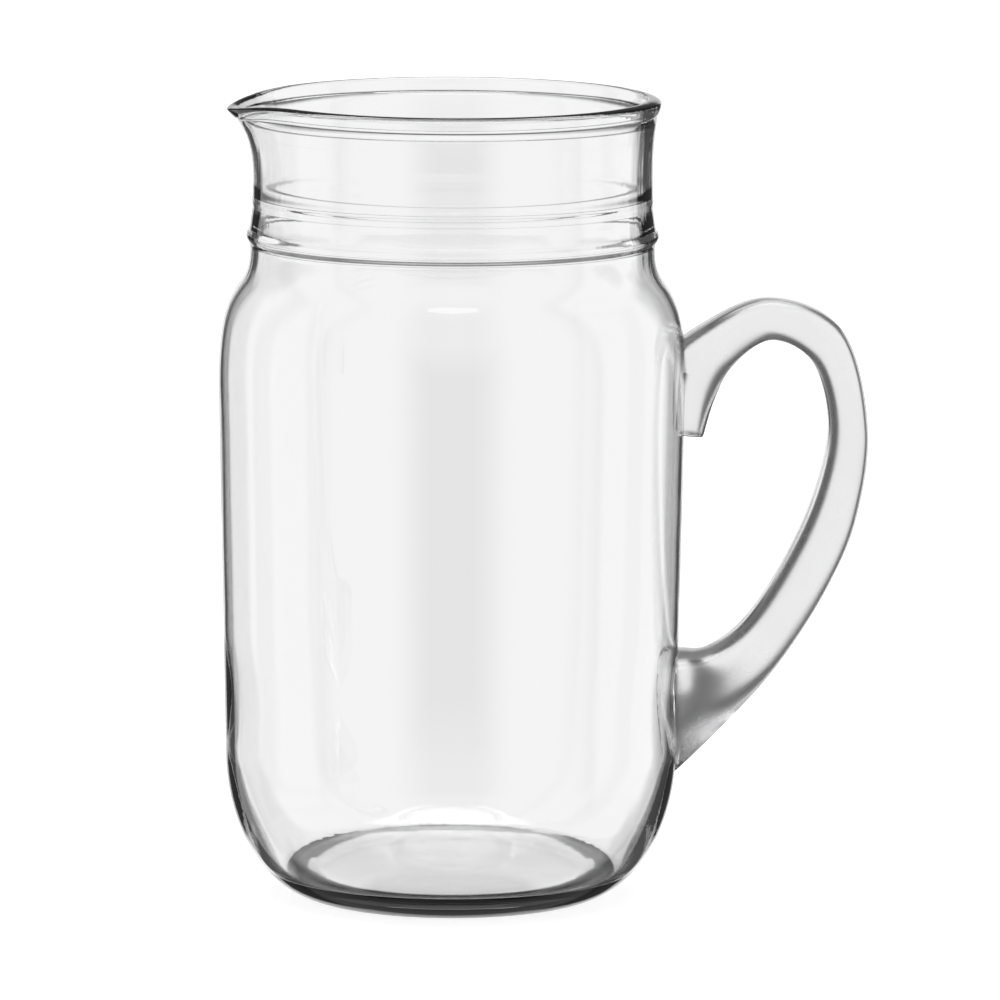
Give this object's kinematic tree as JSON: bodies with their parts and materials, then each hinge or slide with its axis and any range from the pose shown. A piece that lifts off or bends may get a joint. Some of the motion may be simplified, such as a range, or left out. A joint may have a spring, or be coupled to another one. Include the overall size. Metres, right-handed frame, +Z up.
{
  "type": "water jug",
  "caption": "Open clear glass water jug with a ringed neck, a pouring lip, a rounded heel and an applied loop handle.",
  "frame": {"origin": "centre of the flat base, on the jug's axis, on the table", "axes": "+Z up along the jug's axis, +X from the axis towards the handle, -X towards the pouring lip"},
  "size_m": [0.1855, 0.1332, 0.23],
  "materials": {
    "clear_glass": "gloss",
    "handle_glass": "soft gloss"
  },
  "bodies": {
    "root": {"jug_body": "clear_glass", "handle": "handle_glass"}
  },
  "joints": []
}
